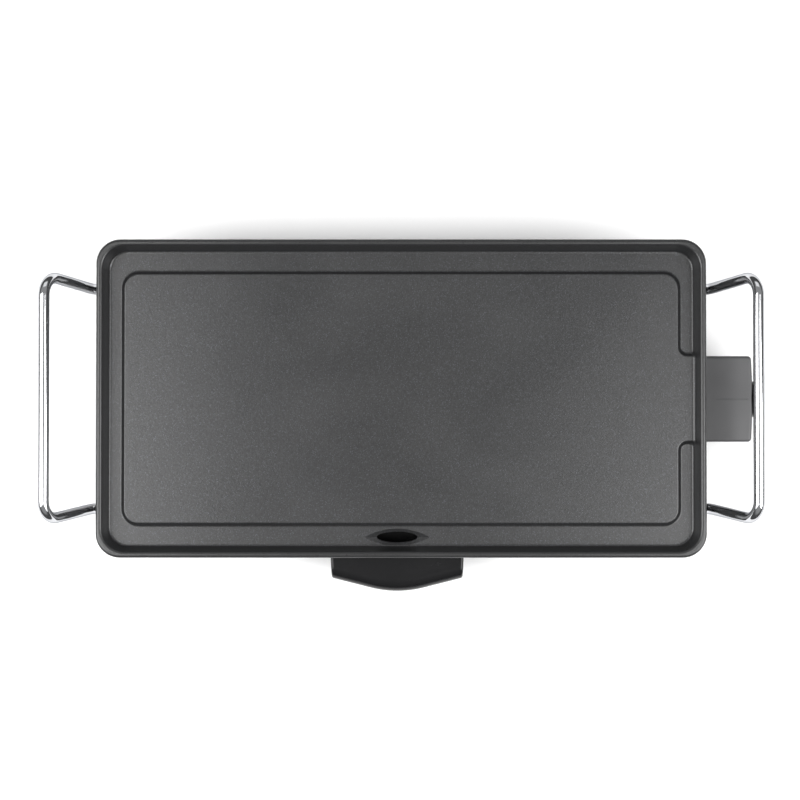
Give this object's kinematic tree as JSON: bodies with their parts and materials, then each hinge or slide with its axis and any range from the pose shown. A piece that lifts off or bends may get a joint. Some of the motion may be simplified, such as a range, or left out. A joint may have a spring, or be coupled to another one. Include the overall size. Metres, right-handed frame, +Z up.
{
  "type": "electric griddle",
  "caption": "Rectangular cast griddle with a raised rim and grease channel, bent wire handles, slide-out drip drawer and plug-in thermostat controller.",
  "frame": {"origin": "on the floor, in the middle of the whole object's footprint", "axes": "+X to the controller and dial end, -Y to the front where the drawer pulls out, +Z up"},
  "size_m": [0.5344, 0.2616, 0.112],
  "materials": {
    "nonstick": "cast aluminium with a dark, finely speckled non-stick coating",
    "element_sheath": "drawn steel sheath, heat-darkened",
    "ceramic": "unglazed steatite ceramic",
    "plated_brass": "nickel-flashed brass",
    "zinc_steel": "zinc-plated steel",
    "stainless": "ground stainless steel",
    "chrome": "bright chromium plate",
    "phenolic": "moulded phenolic, satin",
    "rubber": "soft rubber, matt",
    "drawer_plastic": "moulded heat-resistant plastic, glossy black",
    "case_plastic": "moulded plastic, fine spark texture, charcoal",
    "dial_plastic": "moulded plastic, satin black",
    "lens_red": "clear red lens",
    "lamp_glass": "neon lamp glass",
    "lead_brown": "insulated lead",
    "lead_blue": "insulated lead"
  },
  "bodies": {
    "base": {"griddle_plate": "nonstick", "heating_element": "element_sheath", "pin_insulator_1": "ceramic", "pin_insulator_2": "ceramic", "terminal_pin_1": "plated_brass", "terminal_pin_2": "plated_brass", "socket_shroud": "zinc_steel", "shroud_screw_1": "zinc_steel", "shroud_screw_2": "zinc_steel", "earth_clip": "zinc_steel", "handle_left": "chrome", "handle_right": "chrome", "foot_front_left": "phenolic", "foot_pad_front_left": "rubber", "foot_screw_front_left": "zinc_steel", "handle_screw_front_left": "zinc_steel", "foot_front_right": "phenolic", "foot_pad_front_right": "rubber", "foot_screw_front_right": "zinc_steel", "handle_screw_front_right": "zinc_steel", "foot_rear_left": "phenolic", "foot_pad_rear_left": "rubber", "foot_screw_rear_left": "zinc_steel", "handle_screw_rear_left": "zinc_steel", "foot_rear_right": "phenolic", "foot_pad_rear_right": "rubber", "foot_screw_rear_right": "zinc_steel", "handle_screw_rear_right": "zinc_steel", "drawer_rail_left": "zinc_steel", "drawer_rail_right": "zinc_steel", "rail_screw_1": "zinc_steel", "rail_screw_2": "zinc_steel", "rail_screw_3": "zinc_steel", "rail_screw_4": "zinc_steel"},
    "drawer": {"drip_drawer": "drawer_plastic"},
    "controller": {"control_upper_casing": "case_plastic", "control_lower_casing": "case_plastic", "case_screw_1": "zinc_steel", "case_screw_2": "zinc_steel", "case_screw_3": "zinc_steel", "probe_rod": "stainless", "probe_bush": "plated_brass", "contact_socket_1": "plated_brass", "contact_socket_2": "plated_brass", "socket_carrier": "ceramic", "thermostat_frame": "zinc_steel", "thermostat_stack": "ceramic", "fixed_contact_blade": "plated_brass", "blade_spacer": "ceramic", "moving_contact_blade": "plated_brass", "indicator_lamp": "lamp_glass", "indicator_lens": "lens_red", "cord_gland": "rubber", "lead_live": "lead_brown", "lead_neutral": "lead_blue"},
    "dial": {"temperature_dial": "dial_plastic", "dial_spindle": "zinc_steel"}
  },
  "joints": [
    {"name": "drawer_slide", "type": "slide", "parent": "base", "child": "drawer", "axis": [0, -1, 0], "range_m": [0, 0.125]},
    {"name": "controller_plug", "type": "slide", "parent": "base", "child": "controller", "axis": [1, 0, 0], "range_m": [0, 0.13]},
    {"name": "dial_turn", "type": "hinge", "parent": "controller", "child": "dial", "pos_m": [0.2628, 0.013, 0.046], "axis": [1, 0, 0], "range_deg": [0, 280]}
  ]
}
